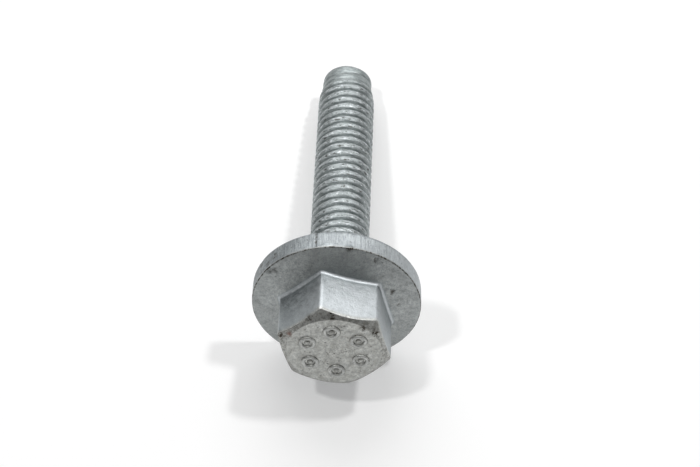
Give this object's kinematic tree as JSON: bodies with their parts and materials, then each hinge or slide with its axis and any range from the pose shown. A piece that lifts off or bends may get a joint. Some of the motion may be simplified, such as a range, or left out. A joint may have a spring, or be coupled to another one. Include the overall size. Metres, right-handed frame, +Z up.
{
  "type": "flange bolt",
  "caption": "Hexagon-head bolt with a wide round flange under the head and a right-hand thread along almost all of its shank, lying on flange and point.",
  "frame": {"origin": "on the floor, under the middle of the bolt's bounding box", "axes": "+Z up from the floor the bolt lies on; +Y from the head towards the point, seen from above; the bolt's axis lies in the YZ plane"},
  "size_m": [0.0164, 0.0386, 0.0164],
  "materials": {
    "zinc_coated_steel": "dull zinc coating, lightly scuffed"
  },
  "bodies": {
    "root": {"flange_bolt": "zinc_coated_steel"}
  },
  "joints": []
}
